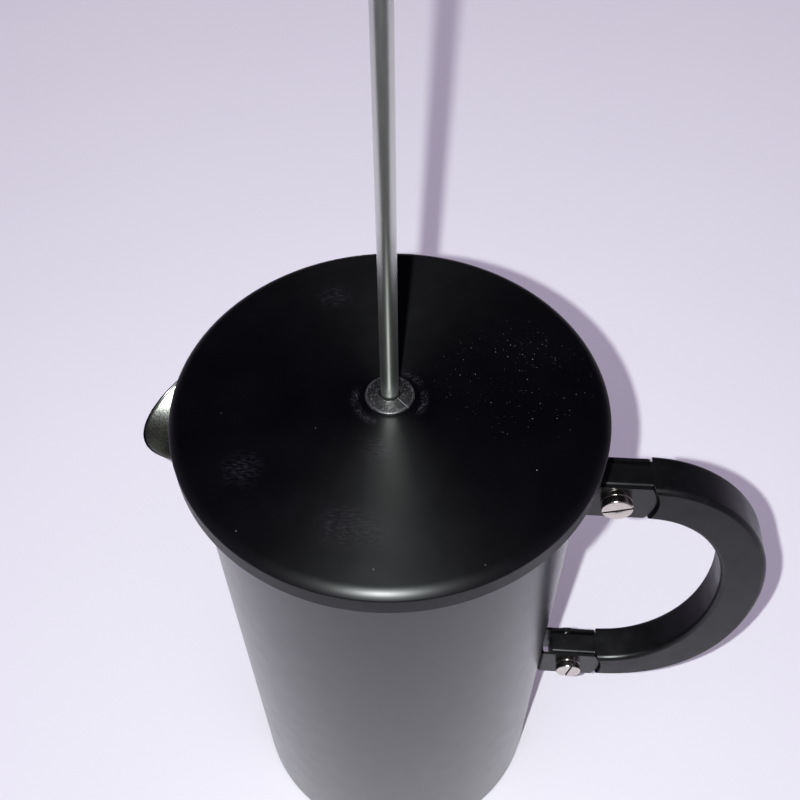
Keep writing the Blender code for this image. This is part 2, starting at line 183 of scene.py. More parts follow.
def combined(piece, operation, *others):
    """Boolean the others into the piece, and remove them."""
    for other in others:
        modifier = piece.modifiers.new("boolean", "BOOLEAN")
        modifier.operation = operation
        modifier.solver = "EXACT"
        modifier.object = other
    settled(piece)
    for other in others:
        bpy.data.objects.remove(other, do_unlink=True)
    return piece


def softened(piece, width, segments=3, angle=40.0):
    """Round every edge sharper than an angle."""
    bevel = piece.modifiers.new("edges", "BEVEL")
    bevel.width = width
    bevel.segments = segments
    bevel.limit_method = "ANGLE"
    bevel.angle_limit = math.radians(angle)
    bevel.harden_normals = False
    return settled(piece)


def shown(piece, body, nodes, material):
    """Finish a piece: smooth shading, material, and its place in the frame."""
    piece.data.shade_smooth()
    piece.data.set_sharp_from_angle(angle=math.radians(42.0))
    normals = piece.modifiers.new("normals", "WEIGHTED_NORMAL")
    normals.keep_sharp = True
    piece.data.materials.clear()
    piece.data.materials.append(material)
    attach(piece, body)
    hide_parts(*nodes)
    return piece


# ---------------------------------------------------------------- materials

class Paint:
    """A Principled material and short ways to feed its sockets."""

    def __init__(self, name, colour, roughness, metallic=0.0, **sockets):
        self.material = bpy.data.materials.new(name)
        self.material.use_nodes = True
        self.tree = self.material.node_tree
        self.shader = self.tree.nodes["Principled BSDF"]
        self.shader.inputs["Base Color"].default_value = (*colour, 1.0)
        self.shader.inputs["Roughness"].default_value = roughness
        self.shader.inputs["Metallic"].default_value = metallic
        for label, value in sockets.items():
            self.shader.inputs[label.replace("_", " ")].default_value = value
        self.place = self.node("ShaderNodeTexCoord").outputs["Object"]

    def node(self, kind, inputs=None, **settings):
        made = self.tree.nodes.new(kind)
        for label, value in settings.items():
            setattr(made, label, value)
        for label, value in (inputs or {}).items():
            if isinstance(value, bpy.types.NodeSocket):
                self.tree.links.new(value, made.inputs[label])
            else:
                made.inputs[label].default_value = value
        return made

    def stretched(self, scale, offset=(0.0, 0.0, 0.0)):
        """Object coordinates, moved and then scaled along each axis."""
        placed = self.node("ShaderNodeVectorMath", {0: self.place, 1: offset}, operation="SUBTRACT")
        scaled = self.node("ShaderNodeVectorMath", {0: placed.outputs[0], 1: scale}, operation="MULTIPLY")
        return scaled.outputs[0]

    def noise(self, scale, detail=3.0, vector=None):
        inputs = {"Vector": vector or self.place, "Scale": scale, "Detail": detail}
        return self.node("ShaderNodeTexNoise", inputs).outputs["Fac"]

    def maths(self, operation, first, second=0.0):
        return self.node("ShaderNodeMath", {0: first, 1: second}, operation=operation).outputs[0]

    def ranged(self, value, low, high, to_low, to_high, smooth=False):
        inputs = {"Value": value, "From Min": low, "From Max": high, "To Min": to_low, "To Max": to_high}
        kind = "SMOOTHSTEP" if smooth else "LINEAR"
        return self.node("ShaderNodeMapRange", inputs, interpolation_type=kind).outputs["Result"]

    def mixed(self, share, first, second):
        inputs = {"Factor": share, "A": (*first, 1.0) if isinstance(first, tuple) else first,
                  "B": (*second, 1.0) if isinstance(second, tuple) else second}
        made = self.tree.nodes.new("ShaderNodeMix")
        made.data_type = "RGBA"
        named = {"Factor": made.inputs[0], "A": made.inputs[6], "B": made.inputs[7]}
        for label, value in inputs.items():
            if isinstance(value, bpy.types.NodeSocket):
                self.tree.links.new(value, named[label])
            else:
                named[label].default_value = value
        return made.outputs[2]

    def near(self, point, radius):
        """1 at a point, falling smoothly to 0 at a radius from it."""
        distance = self.node("ShaderNodeVectorMath", {0: self.place, 1: point}, operation="DISTANCE")
        return self.ranged(distance.outputs["Value"], 0.0, radius, 1.0, 0.0, smooth=True)

    def spots(self, places, height):
        """1 at each of some (x, y, radius) spots in mm at a height, falling to 0 round them."""
        most = 0.0
        for x, y, radius in places:
            most = self.maths("MAXIMUM", self.near((x * MM, y * MM, height), radius * MM), most)
        return most

    def specks(self, scale, size, kept):
        """Small round specks in a share of the cells of a 3D grid."""
        cells = self.node("ShaderNodeTexVoronoi", {"Vector": self.place, "Scale": scale})
        dot = self.ranged(cells.outputs["Distance"], size * 0.5, size, 1.0, 0.0)
        pick = self.node("ShaderNodeSeparateColor", {"Color": cells.outputs["Color"]}).outputs["Red"]
        return self.maths("MULTIPLY", dot, self.maths("GREATER_THAN", pick, 1.0 - kept))

    def radius(self):
        """Distance from the pot's axis."""
        flat = self.node("ShaderNodeVectorMath", {0: self.place, 1: (1.0, 1.0, 0.0)}, operation="MULTIPLY")
        return self.node("ShaderNodeVectorMath", {0: flat.outputs[0]}, operation="LENGTH").outputs["Value"]

    def moulded_gloss(self, roughness):
        """The uneven roughness of a moulded surface."""
        return self.ranged(self.noise(160.0, 4.0), 0.3, 0.7, roughness - 0.05, roughness + 0.06)

    def feed(self, label, value):
        self.tree.links.new(value, self.shader.inputs[label])

    def bump(self, height, distance, strength=1.0):
        inputs = {"Height": height, "Distance": distance, "Strength": strength}
        self.feed("Normal", self.node("ShaderNodeBump", inputs).outputs["Normal"])


def black_paint(name, colour, roughness, grain, dust, level=0.5):
    """Baked satin paint: fine orange peel, faint cloudiness, a little dust."""
    paint = Paint(name, colour, roughness, Specular_IOR_Level=level)
    cloud = paint.noise(55.0, 4.0)
    lighter = tuple(c * 1.12 + 0.0005 for c in colour)
    tone = paint.mixed(paint.ranged(cloud, 0.3, 0.7, 0.0, 1.0), colour, lighter)
    dusty = paint.maths("MULTIPLY", paint.specks(330.0, 0.075, dust), 0.6)
    paint.feed("Base Color", paint.mixed(dusty, tone, (0.35, 0.35, 0.37)))
    gloss = paint.noise(140.0, 5.0)
    paint.feed("Roughness", paint.ranged(gloss, 0.3, 0.7, roughness - 0.015, roughness + 0.02))
    paint.bump(paint.noise(2600.0, 2.0), grain * MM)
    return paint


# spots on the lid, each as its X, its Y and its radius, in mm
LID_WEAR = ((-8.5, -2.0, 6.0), (-6.0, -7.0, 5.0), (6.5, 8.0, 6.0), (9.5, -1.5, 6.0))
LID_SMUDGES = ((-8.0, -37.0, 8.0), (-2.0, -38.0, 8.0), (-33.0, -23.0, 7.0), (-17.0, 35.0, 7.0),
               (-2.0, -16.0, 6.0))
LID_SPILL = ((31.0, 9.0, 32.0),)


def lid_paint(top):
    """The lid's darker, flatter paint, worn and dusty as on a used press."""
    paint = Paint("lid_paint", (0.002, 0.002, 0.003), 0.40, Specular_IOR_Level=0.28, Anisotropic=0.55,
                  Anisotropic_Rotation=0.25)
    tangent = paint.node("ShaderNodeTangent", direction_type="RADIAL", axis="Z")
    paint.feed("Tangent", tangent.outputs["Tangent"])
    cloud = paint.noise(70.0, 4.0)
    tone = paint.mixed(paint.ranged(cloud, 0.35, 0.7, 0.0, 1.0),
                       (0.0008, 0.0007, 0.0020), (0.0016, 0.0015, 0.0032))
    ring = paint.maths("MULTIPLY", paint.ranged(paint.radius(), 7.4 * MM, 8.2 * MM, 0.0, 1.0),
                       paint.ranged(paint.radius(), 8.6 * MM, 10.0 * MM, 1.0, 0.0))
    grit = paint.ranged(paint.noise(3600.0, 5.0), 0.55, 0.7, 0.0, 1.0)
    rubbed = paint.ranged(paint.spots(LID_WEAR, top), 0.05, 0.5, 0.0, 1.0)
    wear = paint.maths("MULTIPLY", paint.maths("MULTIPLY", ring, rubbed), grit)
    streaks = paint.noise(1900.0, 6.0, paint.stretched((0.3, 1.0, 1.0)))
    smudge = paint.maths("MULTIPLY", paint.spots(LID_SMUDGES, top),
                         paint.ranged(streaks, 0.45, 0.75, 0.0, 1.0))
    spilt = paint.ranged(paint.spots(LID_SPILL, top), 0.2, 0.6, 0.0, 1.0)
    powder = paint.maths("MULTIPLY", paint.specks(1700.0, 0.13, 0.5),
                         paint.ranged(paint.noise(260.0, 3.0), 0.45, 0.62, 0.0, 0.6))
    crumbs = paint.maths("MULTIPLY", paint.maths("MAXIMUM", paint.specks(1000.0, 0.11, 0.35), powder), spilt)
    scattered = paint.maths("MULTIPLY", paint.specks(420.0, 0.07, 0.22),
                            paint.ranged(cloud, 0.5, 0.6, 0.0, 1.0))
    dust = paint.maths("MAXIMUM", crumbs, scattered)
    tone = paint.mixed(paint.maths("MULTIPLY", wear, 0.45), tone, (0.25, 0.25, 0.28))
    tone = paint.mixed(paint.maths("MULTIPLY", smudge, 0.12), tone, (0.20, 0.20, 0.26))
    paint.feed("Base Color", paint.mixed(paint.maths("MULTIPLY", dust, 0.7), tone, (0.5, 0.5, 0.5)))
    paint.feed("Roughness", paint.ranged(paint.noise(180.0, 5.0), 0.3, 0.7, 0.37, 0.40))
    waves = {"Vector": paint.place, "Scale": 420.0, "Distortion": 1.5, "Detail": 2.0}
    rings = paint.node("ShaderNodeTexWave", waves, wave_type="RINGS", rings_direction="Z")
    height = paint.maths("ADD", paint.noise(2400.0, 2.0), paint.maths("MULTIPLY", rings.outputs["Fac"], 0.25))
    paint.bump(height, 0.006 * MM)
    return paint


def moulded_plastic(name, colour, roughness, grain_scale=1800.0, grain=0.008, scuffs=0.05, level=0.5):
    """Black plastic with the fine grain of its mould and a few lighter scuffs; grain is its depth in mm."""
    paint = Paint(name, colour, roughness, Specular_IOR_Level=level)
    scuff = paint.ranged(paint.noise(420.0, 6.0), 0.62, 0.8, 0.0, scuffs)
    lighter = tuple(c * 1.4 + 0.003 for c in colour)
    tone = paint.mixed(paint.ranged(paint.noise(90.0), 0.35, 0.7, 0.0, 1.0), colour, lighter)
    paint.feed("Base Color", paint.mixed(scuff, tone, (0.22, 0.22, 0.23)))
    paint.feed("Roughness", paint.moulded_gloss(roughness))
    paint.bump(paint.noise(grain_scale, 3.0), grain * MM)
    return paint


def bush_plastic(bush):
    """The bush's rough, rubbed top: pale speckle, a faint lighter ring along the rim, partly wear and partly a
    painted highlight, and a fine moulding line.
    """
    paint = Paint("bush_plastic", (0.014, 0.014, 0.016), 0.40, Specular_IOR_Level=0.8)
    paint.feed("Roughness", paint.moulded_gloss(0.40))
    height = paint.node("ShaderNodeSeparateXYZ", {"Vector": paint.place}).outputs["Z"]
    on_top = paint.ranged(height, bush.top - 1.1 * MM, bush.top - 0.9 * MM, 0.0, 1.0)
    fine = paint.noise(2900.0, 5.0)
    speckle = paint.maths("MULTIPLY", paint.ranged(fine, 0.58, 0.74, 0.0, 0.5), on_top)
    radius = paint.radius()
    # a faint lighter ring just inside the rim, broken by noise: partly wear, partly a painted highlight of the
    # rounded rim
    rim = paint.maths("MULTIPLY",
                      paint.ranged(radius, bush.radius - 0.65 * MM, bush.radius - 0.5 * MM, 0.0, 1.0),
                      paint.ranged(radius, bush.radius - 0.45 * MM, bush.radius - 0.3 * MM, 1.0, 0.0))
    rim = paint.maths("MULTIPLY", rim, paint.ranged(paint.noise(900.0, 3.0), 0.35, 0.65, 0.03, 0.24))
    aligned = paint.node("ShaderNodeVectorRotate", {"Vector": paint.place, "Angle": math.radians(40.0)},
                         rotation_type="Z_AXIS").outputs["Vector"]
    parts = paint.node("ShaderNodeSeparateXYZ", {"Vector": aligned})
    line = paint.ranged(paint.maths("ABSOLUTE", parts.outputs["Y"]), 0.03 * MM, 0.1 * MM, 1.0, 0.0)
    line = paint.maths("MULTIPLY", line, paint.maths("GREATER_THAN", parts.outputs["X"], 2.6 * MM))
    line = paint.maths("MULTIPLY", line, on_top)
    marks = paint.maths("MAXIMUM", paint.maths("MAXIMUM", speckle, rim), paint.maths("MULTIPLY", line, 0.6))
    paint.feed("Base Color", paint.mixed(marks, (0.004, 0.004, 0.006), (0.5, 0.5, 0.5)))
    paint.bump(paint.maths("ADD", paint.noise(3200.0, 5.0), fine), 0.045 * MM)
    return paint


EVEN = (1.0, 1.0, 1.0)


def steel(name, colour, roughness, grain=EVEN, grain_scale=1500.0, depth=0.004, mottle=0.12, spread=0.06):
    """Bare metal with a grain that may be drawn out along an axis; depth is the grain's, in mm."""
    paint = Paint(name, colour, roughness, 1.0)
    lines = paint.noise(grain_scale, 4.0, paint.stretched(grain))
    darker = tuple(c * (1.0 - 2.2 * mottle) for c in colour)
    tone = paint.mixed(paint.ranged(lines, 0.3, 0.7, 0.0, 1.0), darker, colour)
    cloud = paint.ranged(paint.noise(120.0, 4.0), 0.4, 0.75, 0.0, 1.6 * mottle)
    paint.feed("Base Color", paint.mixed(cloud, tone, tuple(c * 0.62 for c in colour)))
    paint.feed("Roughness", paint.ranged(lines, 0.25, 0.75, roughness - spread, roughness + spread))
    paint.bump(lines, depth * MM)
    return paint


def screw_steel():
    """Bright plated steel, with painted shade: dark down in the screws' slots."""
    paint = steel("screw_chrome", (0.66, 0.61, 0.56), 0.16, EVEN, 900.0, 0.002, 0.05)
    plain = paint.shader.inputs["Base Color"].links[0].from_socket
    depth = paint.node("ShaderNodeSeparateXYZ", {"Vector": paint.place}).outputs["Y"]
    # painted shade: colour darkened inside each screw's slot, below the head's face
    slots = 0.0
    for side in ("upper", "lower"):
        screw = Place(f"{side}_screw")
        flat = paint.stretched((1.0, 0.0, 1.0), (screw.centre.x, 0.0, screw.centre.z))
        around = paint.node("ShaderNodeVectorMath", {0: flat}, operation="LENGTH").outputs["Value"]
        within = paint.maths("LESS_THAN", around, (screw.high.x - screw.low.x) / 2 - 0.4 * MM)
        below = paint.ranged(depth, screw.low.y + 0.05 * MM, screw.low.y + 0.2 * MM, 0.0, 1.0)
        above = paint.maths("LESS_THAN", depth, screw.low.y + 1.0 * MM)
        slot = paint.maths("MULTIPLY", within, paint.maths("MULTIPLY", below, above))
        slots = paint.maths("MAXIMUM", slot, slots)
    # painted shade: the slots' dark colour mixed over the plated steel
    paint.feed("Base Color", paint.mixed(paint.maths("MULTIPLY", slots, 0.85), plain, (0.05, 0.045, 0.035)))
    return paint


def woven_steel():
    """Fine woven wire cloth: warp and weft as crossed waves."""
    paint = Paint("mesh_steel", (0.46, 0.46, 0.45), 0.35, 1.0)
    warp = paint.node("ShaderNodeTexWave", {"Vector": paint.place, "Scale": 430.0}, bands_direction="X")
    weft = paint.node("ShaderNodeTexWave", {"Vector": paint.place, "Scale": 430.0}, bands_direction="Y")
    cloth = paint.maths("MAXIMUM", warp.outputs["Fac"], weft.outputs["Fac"])
    paint.feed("Base Color", paint.mixed(cloth, (0.05, 0.05, 0.05), (0.55, 0.55, 0.53)))
    paint.feed("Roughness", paint.ranged(paint.noise(300.0), 0.3, 0.7, 0.3, 0.45))
    paint.bump(cloth, 0.12 * MM)
    return paint


def rubber():
    paint = Paint("seal_rubber", (0.03, 0.03, 0.033), 0.75)
    tone = paint.mixed(paint.noise(260.0, 4.0), (0.022, 0.022, 0.024), (0.045, 0.045, 0.048))
    paint.feed("Base Color", tone)
    paint.feed("Roughness", paint.ranged(paint.noise(500.0, 3.0), 0.3, 0.7, 0.68, 0.84))
    paint.bump(paint.noise(1400.0, 3.0), 0.02 * MM)
    return paint


# ---------------------------------------------------------------- pot

SPOUT_FROM = 155.0 * MM
SPOUT_REACH = 14.5 * MM
SPOUT_DROP = 11.0 * MM
SPOUT_HALF_ANGLE = math.radians(23.0)
SPOUT_POWER = 1.3
SPOUT_RISE_POWER = 1.8
SPOUT_ROW = 1.2 * MM           # height of a row of faces where the wall bends

SHELL_WALL = 0.5 * MM
SHELL_HEM = 2.4 * MM           # width of the shell's turned-in foot
VESSEL_WALL = 0.6 * MM
VESSEL_GAP = 3.2 * MM          # from the shell's outside to the vessel, below its flare
FLARE_LOW, FLARE_HIGH = 163.0 * MM, 174.0 * MM


def with_spout(piece, rim):
    """Bend the wall's top outwards and down round -X, most at the rim."""
    for vertex in piece.data.vertices:
        x, y, z = vertex.co
        angle = abs(math.atan2(y, -x))
        height = (z - SPOUT_FROM) / (rim - SPOUT_FROM)
        if height <= 0.0 or angle >= SPOUT_HALF_ANGLE:
            continue
        sideways = math.cos(math.pi / 2 * angle / SPOUT_HALF_ANGLE) ** SPOUT_POWER
        bend = sideways * height ** SPOUT_RISE_POWER
        grow = 1.0 + SPOUT_REACH * bend / math.hypot(x, y)
        vertex.co = (x * grow, y * grow, z - SPOUT_DROP * bend)
    return piece


def make_pot(materials):
    shell, vessel, plate = Place("outer_shell"), Place("inner_vessel"), Place("base_plate")
    rim, radius, foot = vessel.top, shell.radius, shell.bottom
    inside, hem = radius - SHELL_WALL, radius - SHELL_HEM
    outline = filleted([(radius, rim, 0.2 * MM), (radius, foot, 1.2 * MM), (hem, foot, 0.15 * MM),
                        (hem, foot + SHELL_WALL, 0.15 * MM), (inside, foot + SHELL_WALL, 0.7 * MM),
                        (inside, rim, 0.2 * MM)])
    piece = with_spout(lathe("shell_skin", refined(outline, SPOUT_FROM, SPOUT_ROW)), rim)
    shown(piece, "pot", ["outer_shell"], materials["shell"])

    wall, floor, lip = VESSEL_WALL, vessel.bottom, rim - 0.05 * MM
    flared, straight = inside - 0.05 * MM, radius - VESSEL_GAP
    outline = filleted([(0.0, floor + wall, 0), (straight - wall, floor + wall, 6.4 * MM),
                        (straight - wall, FLARE_LOW, 20 * MM), (flared - wall, FLARE_HIGH, 20 * MM),
                        (flared - wall, lip, 0.2 * MM), (flared, lip, 0.1 * MM),
                        (flared, FLARE_HIGH, 20 * MM), (straight, FLARE_LOW, 20 * MM),
                        (straight, floor, 7.0 * MM), (0.0, floor, 0)], closed=False)
    piece = with_spout(lathe("vessel_liner", refined(outline, SPOUT_FROM, SPOUT_ROW), closed=False), rim)
    shown(piece, "pot", ["inner_vessel"], materials["vessel"])

    top, outer, hollow = plate.top, plate.radius, 0.5 * MM
    outline = filleted([(0.0, hollow, 0), (outer * 0.55, hollow, 0.6 * MM), (outer * 0.60, 0.0, 0.8 * MM),
                        (outer, 0.0, 0.35 * MM), (outer, top, 0.25 * MM), (0.0, top, 0)], closed=False)
    piece = lathe("base_disc", outline, closed=False)
    shown(piece, "pot", ["base_plate"], materials["shell"])


# ---------------------------------------------------------------- handle

LOOP_STEPS = 120
ARM_EDGE = 1.6 * MM           # rounding of the arm's long edges
TONGUE_EDGE = 1.0 * MM
TONGUE_STEP = 0.7 * MM         # tongue's faces below the arm's
TONGUE_HALF_WIDTH = 3.7 * MM
SHOULDER_GAP = 0.8 * MM        # between the cheeks' ends and the arm's hollowed shoulders
CHEEK_END_RADIUS = 12.5 * MM
INNER_LOOP_DROP = 0.7 * MM
INNER_HALF_X = 28.5 * MM
INNER_HALF_Z = 43.9 * MM
CROSS_HOLE = 2.8 * MM          # radius of the screws' holes, through tongue and cheeks
CROSS_REACH = 9.0 * MM         # half length of the tool that cuts them


def half_loop(centre, half_x, half_z, upper_power, lower_power):
    """Half a superellipse on the +X side of a centre, from its top to its bottom."""
    points = []
    for i in range(LOOP_STEPS + 1):
        angle = math.pi * i / LOOP_STEPS
        power = upper_power if math.cos(angle) > 0 else lower_power
        out = math.sin(angle) ** (2.0 / power)
        up = math.copysign(abs(math.cos(angle)) ** (2.0 / power), math.cos(angle))
        points.append(Vector((centre.x + half_x * out, 0.0, centre.z + half_z * up)))
    return points


def bar_section(inner, outer, half_width, edge, segments=6):
    """A rounded rectangle from an inner to an outer point of the XZ plane, half_width to each side."""
    across = Vector((0.0, 1.0, 0.0))
    depth = (outer - inner).length
    out = (outer - inner).normalized()
    corners = [(0.0, -half_width, edge), (depth, -half_width, edge),
               (depth, half_width, edge), (0.0, half_width, edge)]
    return [inner + out * s + across * y for s, y in filleted(corners, segments=segments)]


def cross_hole(side, steps=SMALL_ROUND):
    """The tool that cuts a screw's hole along Y."""
    screw = Place(f"{side}_screw").centre
    return moved(cylinder("hole", CROSS_HOLE, -CROSS_REACH, CROSS_REACH, steps),
                 Matrix.Translation((screw.x, 0.0, screw.z)), LAY_ACROSS)


def make_tongue(index, side, inside, outside, ends):
    """The bar between a bracket's cheeks, from an inner to an outer height, drilled for its screw."""
    level_in, level_out = Vector((0, 0, inside.z)), Vector((0, 0, outside.z))
    sections = [bar_section(level_in + end, level_out + end, TONGUE_HALF_WIDTH, TONGUE_EDGE) for end in ends]
    bar = softened(loft(f"tongue_{index}", sections), 0.35 * MM, 3, 60.0)
    return combined(bar, "DIFFERENCE", cross_hole(side))


def make_handle(materials):
    handle = Place("handle")
    brackets = [Place("upper_bracket"), Place("lower_bracket")]
    start_x = brackets[0].high.x - 1.4 * MM
    centre = Vector((start_x, 0.0, handle.centre.z))
    outer = half_loop(centre, handle.high.x - start_x, handle.top - centre.z, 2.0, 2.25)
    inner = half_loop(centre - Vector((0, 0, INNER_LOOP_DROP)), INNER_HALF_X, INNER_HALF_Z, 2.1, 2.1)
    back = Vector((0.5 * MM, 0.0, 0.0))
    pairs = [(inner[0] - back, outer[0] - back), *zip(inner, outer), (inner[-1] - back, outer[-1] - back)]
    piece = loft("handle_grip", [bar_section(a, b, handle.high.y, ARM_EDGE) for a, b in pairs])

    bars, cuts = [], []
    step = Vector((0.0, 0.0, TONGUE_STEP))
    ends = [Vector((x, 0.0, 0.0)) for x in (handle.low.x, start_x + 4.0 * MM)]
    spans = (("upper", inner[0], outer[0] - step), ("lower", inner[-1] - step, outer[-1] + step))
    for index, (side, inside, outside) in enumerate(spans):
        bars.append(make_tongue(index, side, inside, outside, ends))
        bracket = brackets[index]
        middle = (bracket.high.x - CHEEK_END_RADIUS, 0.0, bracket.centre.z)
        for sign in (-1, 1):
            relief = cylinder(f"relief_{index}_{sign}", CHEEK_END_RADIUS + SHOULDER_GAP,
                              TONGUE_HALF_WIDTH, handle.high.y + 3.0 * MM, 192)
            cuts.append(moved(relief, Matrix.Translation(middle),
                              Matrix.Rotation(math.radians(90.0 * sign), 4, "X")))
    combined(piece, "DIFFERENCE", *cuts)
    combined(piece, "UNION", *bars)
    shown(piece, "pot", ["handle"], materials["handle"])


def make_bracket(side, materials):
    """A strip folded round the tongue: flat back against the pot, two cheeks with curved ends."""
    bracket = Place(f"{side}_bracket")
    sheet, bend, steps = 0.9 * MM, 1.0 * MM, 28
    half = bracket.high.y - sheet / 2
    back = bracket.low.x + sheet / 2
    centre_x = bracket.high.x - CHEEK_END_RADIUS
    shape = bmesh.new()
    rows = []
    for i in range(steps + 1):
        z = bracket.bottom + (bracket.top - bracket.bottom) * i / steps
        end = centre_x + math.sqrt(CHEEK_END_RADIUS ** 2 - (z - bracket.centre.z) ** 2)
        path = filleted([(end, -half, 0), (back, -half, bend), (back, half, bend), (end, half, 0)],
                        closed=False)
        rows.append([shape.verts.new((x, y, z)) for x, y in path])
    for low, high in zip(rows, rows[1:]):
        for i in range(len(low) - 1):
            shape.faces.new((low[i], low[i + 1], high[i + 1], high[i]))
    piece = new_piece(f"{side}_cheeks", shape)
    solidify = piece.modifiers.new("sheet", "SOLIDIFY")
    solidify.thickness = sheet
    solidify.offset = 0.0
    solidify.use_even_offset = True
    settled(piece)
    combined(piece, "DIFFERENCE", cross_hole(side, 48))
    softened(piece, 0.4 * MM, 4, 50.0)
    shown(piece, "pot", [f"{side}_bracket"], materials["bracket"])


SLOT_WIDTH = 0.65 * MM
SLOT_DEPTH = 0.9 * MM
SLOT_TURN = {"upper": 20.0, "lower": 80.0}      # degrees
SHANK = 1.7 * MM
SLEEVE_BORE, SLEEVE_RADIUS = 2.0 * MM, 2.5 * MM


def make_fixings(side, materials):
    """Slotted screw, the collar under its head and the barrel nut from the far side."""
    screw, collar, nut = (Place(f"{side}_{part}") for part in ("screw", "collar", "barrel_nut"))
    middle = Matrix.Translation((collar.centre.x, 0.0, collar.centre.z))
    radius = collar.high.x - collar.centre.x
    face, shank_end = -screw.low.y, -screw.high.y
    seat = -collar.low.y + 0.12 * MM
    outline = filleted([(0.0, face, 0), (radius, face, 0.32 * MM), (radius, seat, 0.12 * MM),
                        (SHANK, seat, 0.2 * MM), (SHANK, shank_end, 0.3 * MM), (0.0, shank_end, 0)],
                       closed=False)
    head = lathe(f"{side}_screw_head", outline, SMALL_ROUND, closed=False)
    slot = block("slot", (-2 * radius, -SLOT_WIDTH / 2, face - SLOT_DEPTH),
                 (2 * radius, SLOT_WIDTH / 2, face + MM))
    moved(slot, Matrix.Rotation(math.radians(SLOT_TURN[side]), 4, "Z"))
    softened(combined(head, "DIFFERENCE", slot), 0.09 * MM, 2, 55.0)
    shown(moved(head, middle, LAY_ACROSS), "pot", [f"{side}_screw"], materials["chrome"])

    low, high, bore = -collar.high.y - 0.25 * MM, -collar.low.y, SLEEVE_BORE
    outline = filleted([(bore, high, 0.1 * MM), (radius, high, 0.14 * MM),
                        (radius, low, 0.18 * MM), (bore, low, 0.1 * MM)])
    piece = moved(lathe(f"{side}_spacer", outline, SMALL_ROUND), middle, LAY_ACROSS)
    shown(piece, "pot", [f"{side}_collar"], materials["chrome"])

    head_end, open_end = -nut.high.y, -nut.low.y
    flange, under = nut.high.x - nut.centre.x, -nut.high.y + 0.5 * MM
    outline = filleted([(bore, open_end, 0.15 * MM), (SLEEVE_RADIUS, open_end, 0.2 * MM),
                        (SLEEVE_RADIUS, under, 0.1 * MM), (flange, under, 0.1 * MM),
                        (flange, head_end, 0.22 * MM), (bore, head_end, 0.3 * MM)])
    piece = moved(lathe(f"{side}_sleeve_nut", outline, SMALL_ROUND), middle, LAY_ACROSS)
    shown(piece, "pot", [f"{side}_barrel_nut"], materials["chrome"])


# ---------------------------------------------------------------- lid

LID_HOLE = 4.3 * MM            # radius of the hole for the bush
LID_WALL = 1.0 * MM
CROWN_STEPS = 48
CROWN_SWELL, CROWN_FALL = 0.65 * MM, 0.25 * MM   # the rise close to the bush, and the fall out to the shoulder
CROWN_REACH = 20.0 * MM        # how far from the hole the rise ends
SHOULDER_DROP = 0.9 * MM       # from the crown's top to the shoulder's start
SHOULDER_WIDE, SHOULDER_TIGHT = 3.8 * MM, 0.8 * MM   # radii of its two roundings
SHOULDER_TURN = math.radians(50.0)               # slope where the one meets the other

LINER_WALL = 0.8 * MM
LINER_SLOTS = 7
LINER_SLOT_PITCH = math.radians(7.0)
LINER_SLOT_HALF_WIDTH = 1.1 * MM
SEAL_INSIDE = 45.6 * MM

BUSH_BORE, BUSH_NECK = 2.55 * MM, 4.0 * MM
BUSH_CONE = 0.75 * MM          # fall of its top towards the rim
BUSH_SEAT = 188.45 * MM        # height of the flange's underside


def lid_shoulder(dome):
    """The shoulder's start radius and its points: a wide rounding, then a tight one into the skirt."""
    wide, tight, turn = SHOULDER_WIDE, SHOULDER_TIGHT, SHOULDER_TURN
    level = dome.top - SHOULDER_DROP
    start = dome.radius - wide * math.sin(turn) - tight * (1.0 - math.sin(turn))
    points = []
    for i in range(1, 13):
        lean = turn * i / 12
        points.append((start + wide * math.sin(lean), level - wide * (1.0 - math.cos(lean))))
    for i in range(1, 7):
        lean = turn + (math.pi / 2 - turn) * i / 6
        points.append((start + (wide - tight) * math.sin(turn) + tight * math.sin(lean),
                       level - wide + (wide - tight) * math.cos(turn) + tight * math.cos(lean)))
    return start, points


def make_lid_cover(materials):
    dome = Place("lid_dome")
    start, shoulder = lid_shoulder(dome)
    crown = []
    for i in range(CROWN_STEPS + 1):        # from the hole to the shoulder, steepest near the bush
        share = i / CROWN_STEPS
        radius = LID_HOLE + (start - LID_HOLE) * share
        swell = (1.0 - math.cos(math.pi * min((radius - LID_HOLE) / CROWN_REACH, 1.0))) / 2
        crown.append((radius, dome.top - (CROWN_SWELL * swell + CROWN_FALL * share ** 2)))
    level, inside = dome.top - SHOULDER_DROP, dome.radius - LID_WALL
    outline = [(r, z, 0) for r, z in crown + shoulder]
    outline += [(dome.radius, dome.bottom, 0.35 * MM), (inside, dome.bottom, 0.35 * MM),
                (inside, level - 3.0 * MM, 0.5 * MM), (start, level - LID_WALL, 0.5 * MM)]
    outline += [(r, z - LID_WALL, 0) for r, z in reversed(crown[:-2])]
    piece = lathe("lid_cover", filleted(outline, segments=10))
    shown(piece, "lid", ["lid_dome"], materials["lid"])


def make_liner(materials):
    """The lid's inner plug, with pouring slots towards the spout."""
    liner = Place("lid_liner")
    radius, inside, under = liner.radius, liner.radius - LINER_WALL, liner.top - LINER_WALL
    outline = filleted([(LID_HOLE, liner.top, 0.1 * MM), (radius, liner.top, 2.0 * MM),
                        (radius, liner.bottom, 0.3 * MM), (inside, liner.bottom, 0.3 * MM),
                        (inside, under, 1.3 * MM), (LID_HOLE, under, 0.1 * MM)])
    piece = lathe("lid_basket", outline)
    slots = []
    for i in range(LINER_SLOTS):
        turn = math.pi + LINER_SLOT_PITCH * (i - (LINER_SLOTS - 1) / 2)
        slot = block(f"slot_{i}", (radius - 4 * MM, -LINER_SLOT_HALF_WIDTH, liner.bottom + 2 * MM),
                     (radius + 4 * MM, LINER_SLOT_HALF_WIDTH, liner.top - 3 * MM))
        slot = softened(slot, 1.05 * MM, 4)
        slots.append(moved(slot, Matrix.Rotation(turn, 4, "Z")))
    combined(piece, "DIFFERENCE", *slots)
    shown(piece, "lid", ["lid_liner"], materials["liner"])


